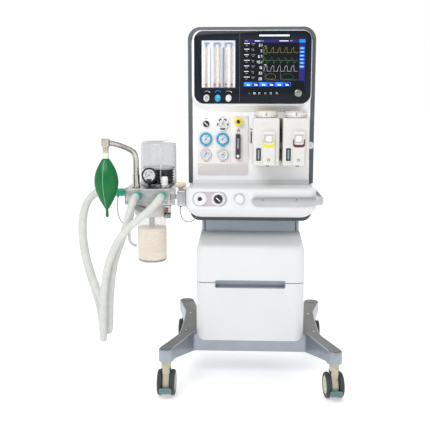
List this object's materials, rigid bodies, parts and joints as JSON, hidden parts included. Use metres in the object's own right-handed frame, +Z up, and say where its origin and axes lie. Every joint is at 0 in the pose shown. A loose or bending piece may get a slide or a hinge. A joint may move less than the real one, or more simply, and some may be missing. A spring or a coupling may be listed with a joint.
{
  "type": "anesthesia machine",
  "caption": "Upright anesthesia machine on swivel casters: display and flowmeter console, vaporizers, gauge panel, worktop, drawer cabinet and a side breathing circuit with bag.",
  "frame": {"origin": "middle of the footprint's bounding box, on the floor under the casters (hoses and lines left out)", "axes": "+Z up; -Y is the machine's front, where the display, knobs and drawer face; +X is to the viewer's right; the breathing circuit is on the -X side"},
  "size_m": [0.9573, 0.6695, 1.273],
  "materials": {
    "frame_paint": "satin silver-grey paint on the cast aluminium base",
    "caster_fork": "khaki nylon, satin",
    "tyre": "dark grey polyurethane, matt",
    "pedal": "teal-grey moulded plastic",
    "white_shell": "white moulded plastic, semi-gloss, fine texture",
    "chassis_paint": "blue-grey powder coat",
    "rail": "brushed, anodised",
    "rear_shell": "dark grey textured plastic",
    "glass_panel": "black-blue glossy front panel",
    "screen": "lit LCD behind glass",
    "flow_tubes": "glass tubes on a printed light panel",
    "black_knob": "black moulded plastic, satin",
    "blue_plastic": "blue moulded plastic",
    "white_knob": "white moulded plastic",
    "chrome": "polished chrome plate",
    "panel": "light grey printed panel",
    "gauge_black": "gauge with a black ring",
    "gauge_blue": "gauge with a blue ring",
    "gauge_white": "gauge with a pale ring",
    "yellow_plastic": "yellow moulded plastic",
    "manifold": "dark olive-grey back bar",
    "alloy": "milled and bead-blasted aluminium",
    "clear_plastic": "clear polycarbonate",
    "bellows_rubber": "black corrugated rubber",
    "bag_rubber": "green latex-free rubber, satin sheen",
    "teal_plastic": "teal moulded connector",
    "canister_head": "cream translucent plastic",
    "lime_charge": "clear canister filled with cream soda lime granules",
    "hose": "translucent off-white corrugated hose",
    "line": "thin grey line"
  },
  "bodies": {
    "machine": {"base_frame": "frame_paint", "cabinet_cover": "white_shell", "chassis": "chassis_paint", "worktop": "white_shell", "rear_housing": "rear_shell", "front_housing": "white_shell", "display_bezel": "glass_panel", "display_screen": "screen", "flowmeter_block": "flow_tubes", "gauge_panel": "panel", "air_gauge": "gauge_black", "nitrous_oxide_gauges": "gauge_blue", "oxygen_gauges": "gauge_white", "auxiliary_flowmeter": "black_knob", "vaporizer_bar": "manifold", "vaporizer_body_left": "white_shell", "vaporizer_body_right": "white_shell", "gas_outlet": "white_shell", "side_rail": "rail", "circuit_arm": "alloy", "sensor_wire": "line"},
    "swivel_front_left": {"caster_fork_front_left": "caster_fork"},
    "wheels_front_left": {"caster_wheels_front_left": "tyre"},
    "pedal_front_left": {"brake_pedal_front_left": "pedal"},
    "swivel_front_right": {"caster_fork_front_right": "caster_fork"},
    "wheels_front_right": {"caster_wheels_front_right": "tyre"},
    "pedal_front_right": {"brake_pedal_front_right": "pedal"},
    "swivel_rear_left": {"caster_fork_rear_left": "caster_fork"},
    "wheels_rear_left": {"caster_wheels_rear_left": "tyre"},
    "swivel_rear_right": {"caster_fork_rear_right": "caster_fork"},
    "wheels_rear_right": {"caster_wheels_rear_right": "tyre"},
    "drawer": {"drawer_front": "white_shell", "drawer_box": "chassis_paint"},
    "air_flow_knob": {"air_flow_knob": "black_knob"},
    "nitrous_oxide_flow_knob": {"nitrous_oxide_flow_knob": "blue_plastic"},
    "oxygen_flow_knob": {"oxygen_flow_knob": "white_knob"},
    "menu_knob": {"menu_knob": "chrome"},
    "selector": {"selector_switch": "black_knob"},
    "suction_knob": {"suction_knob": "yellow_plastic"},
    "auxiliary_flow_knob": {"auxiliary_flow_knob": "white_knob"},
    "outlet_switch_knob": {"outlet_switch_knob": "black_knob"},
    "dial_left": {"vaporizer_dial_left": "white_shell"},
    "lock_left": {"vaporizer_lock_left": "panel"},
    "dial_right": {"vaporizer_dial_right": "white_shell"},
    "lock_right": {"vaporizer_lock_right": "panel"},
    "flush_button": {"oxygen_flush_button": "white_shell"},
    "absorber": {"absorber_block": "alloy", "bellows_dome": "clear_plastic", "bellows": "bellows_rubber", "airway_gauge": "black_knob", "y_piece": "teal_plastic", "canister_head": "canister_head", "breathing_hose_left": "hose", "breathing_hose_right": "hose", "sampling_line": "line"},
    "canister": {"absorber_canister": "lime_charge"},
    "bellows_top": {"bellows_disk": "white_knob"},
    "bag": {"bag_arm": "chrome", "breathing_bag": "bag_rubber"},
    "limit_valve": {"pressure_limit_valve": "white_knob"}
  },
  "joints": [
    {"name": "caster_swivel_front_left", "type": "hinge", "parent": "machine", "child": "swivel_front_left", "pos_m": [-0.1796, -0.2848, 0.11], "axis": [0, 0, 1], "continuous": true},
    {"name": "wheel_spin_front_left", "type": "hinge", "parent": "swivel_front_left", "child": "wheels_front_left", "pos_m": [-0.1796, -0.2768, 0.04462], "axis": [1, 0, 0], "continuous": true},
    {"name": "brake_pedal_front_left_tilt", "type": "hinge", "parent": "swivel_front_left", "child": "pedal_front_left", "pos_m": [-0.1796, -0.3168, 0.034], "axis": [1, 0, 0], "range_deg": [0, 14]},
    {"name": "caster_swivel_front_right", "type": "hinge", "parent": "machine", "child": "swivel_front_right", "pos_m": [0.3984, -0.2848, 0.11], "axis": [0, 0, 1], "continuous": true},
    {"name": "wheel_spin_front_right", "type": "hinge", "parent": "swivel_front_right", "child": "wheels_front_right", "pos_m": [0.39756, -0.27684, 0.04462], "axis": [0.9945, 0.1045, 0], "continuous": true},
    {"name": "brake_pedal_front_right_tilt", "type": "hinge", "parent": "swivel_front_right", "child": "pedal_front_right", "pos_m": [0.40174, -0.31662, 0.034], "axis": [0.9945, 0.1045, 0], "range_deg": [0, 14]},
    {"name": "caster_swivel_rear_left", "type": "hinge", "parent": "machine", "child": "swivel_rear_left", "pos_m": [-0.1586, 0.2982, 0.11], "axis": [0, 0, 1], "continuous": true},
    {"name": "wheel_spin_rear_left", "type": "hinge", "parent": "swivel_rear_left", "child": "wheels_rear_left", "pos_m": [-0.1586, 0.2902, 0.04462], "axis": [-1, 0, 0], "continuous": true},
    {"name": "caster_swivel_rear_right", "type": "hinge", "parent": "machine", "child": "swivel_rear_right", "pos_m": [0.3774, 0.2982, 0.11], "axis": [0, 0, 1], "continuous": true},
    {"name": "wheel_spin_rear_right", "type": "hinge", "parent": "swivel_rear_right", "child": "wheels_rear_right", "pos_m": [0.3774, 0.2902, 0.04462], "axis": [-1, 0, 0], "continuous": true},
    {"name": "drawer_slide", "type": "slide", "parent": "machine", "child": "drawer", "axis": [0, -1, 0], "range_m": [0, 0.24]},
    {"name": "air_flow_turn", "type": "hinge", "parent": "machine", "child": "air_flow_knob", "pos_m": [-0.0496, -0.0628, 1.021], "axis": [0, -1, 0], "range_deg": [0, 540]},
    {"name": "nitrous_oxide_flow_turn", "type": "hinge", "parent": "machine", "child": "nitrous_oxide_flow_knob", "pos_m": [-0.0096, -0.0628, 1.021], "axis": [0, -1, 0], "range_deg": [0, 540]},
    {"name": "oxygen_flow_turn", "type": "hinge", "parent": "machine", "child": "oxygen_flow_knob", "pos_m": [0.0284, -0.0628, 1.021], "axis": [0, -1, 0], "range_deg": [0, 540]},
    {"name": "menu_turn", "type": "hinge", "parent": "machine", "child": "menu_knob", "pos_m": [0.2734, -0.0628, 1.038], "axis": [0, -1, 0], "continuous": true},
    {"name": "selector_turn", "type": "hinge", "parent": "machine", "child": "selector", "pos_m": [-0.0536, -0.0258, 0.929], "axis": [0, -1, 0], "range_deg": [0, 90]},
    {"name": "suction_turn", "type": "hinge", "parent": "machine", "child": "suction_knob", "pos_m": [0.0634, -0.0258, 0.937], "axis": [0, -1, 0], "range_deg": [0, 270]},
    {"name": "auxiliary_flow_turn", "type": "hinge", "parent": "machine", "child": "auxiliary_flow_knob", "pos_m": [0.0624, -0.0428, 0.814], "axis": [0, -1, 0], "range_deg": [0, 540]},
    {"name": "outlet_switch_turn", "type": "hinge", "parent": "machine", "child": "outlet_switch_knob", "pos_m": [-0.0046, -0.1628, 0.6725], "axis": [0, -1, 0], "range_deg": [0, 90]},
    {"name": "vaporizer_dial_left_turn", "type": "hinge", "parent": "machine", "child": "dial_left", "pos_m": [0.1614, -0.0848, 0.96], "axis": [0, 0, 1], "range_deg": [0, 270]},
    {"name": "vaporizer_lock_left_turn", "type": "hinge", "parent": "machine", "child": "lock_left", "pos_m": [0.2194, -0.0378, 0.853], "axis": [0, -1, 0], "range_deg": [0, 90]},
    {"name": "vaporizer_dial_right_turn", "type": "hinge", "parent": "machine", "child": "dial_right", "pos_m": [0.2654, -0.0848, 0.96], "axis": [0, 0, 1], "range_deg": [0, 270]},
    {"name": "vaporizer_lock_right_turn", "type": "hinge", "parent": "machine", "child": "lock_right", "pos_m": [0.3234, -0.0378, 0.853], "axis": [0, -1, 0], "range_deg": [0, 90]},
    {"name": "flush_press", "type": "slide", "parent": "machine", "child": "flush_button", "axis": [0, 1, 0], "range_m": [0, 0.005], "stiffness_N_per_m": 400, "springref_m": -0.003},
    {"name": "circuit_swing", "type": "hinge", "parent": "machine", "child": "absorber", "pos_m": [-0.1626, -0.1328, 0.675], "axis": [0, 0, 1], "range_deg": [0, 60]},
    {"name": "canister_drop", "type": "slide", "parent": "absorber", "child": "canister", "axis": [0, 0, -1], "range_m": [0, 0.18]},
    {"name": "bellows_rise", "type": "slide", "parent": "absorber", "child": "bellows_top", "axis": [0, 0, 1], "range_m": [0, 0.085], "deforming": ["bellows"]},
    {"name": "bag_arm_swing", "type": "hinge", "parent": "absorber", "child": "bag", "pos_m": [-0.3036, -0.0878, 0.73], "axis": [0, 0, 1], "range_deg": [0, 18]},
    {"name": "limit_valve_turn", "type": "hinge", "parent": "absorber", "child": "limit_valve", "pos_m": [-0.2006, -0.0878, 0.725], "axis": [0, 0, 1], "range_deg": [0, 270]}
  ]
}
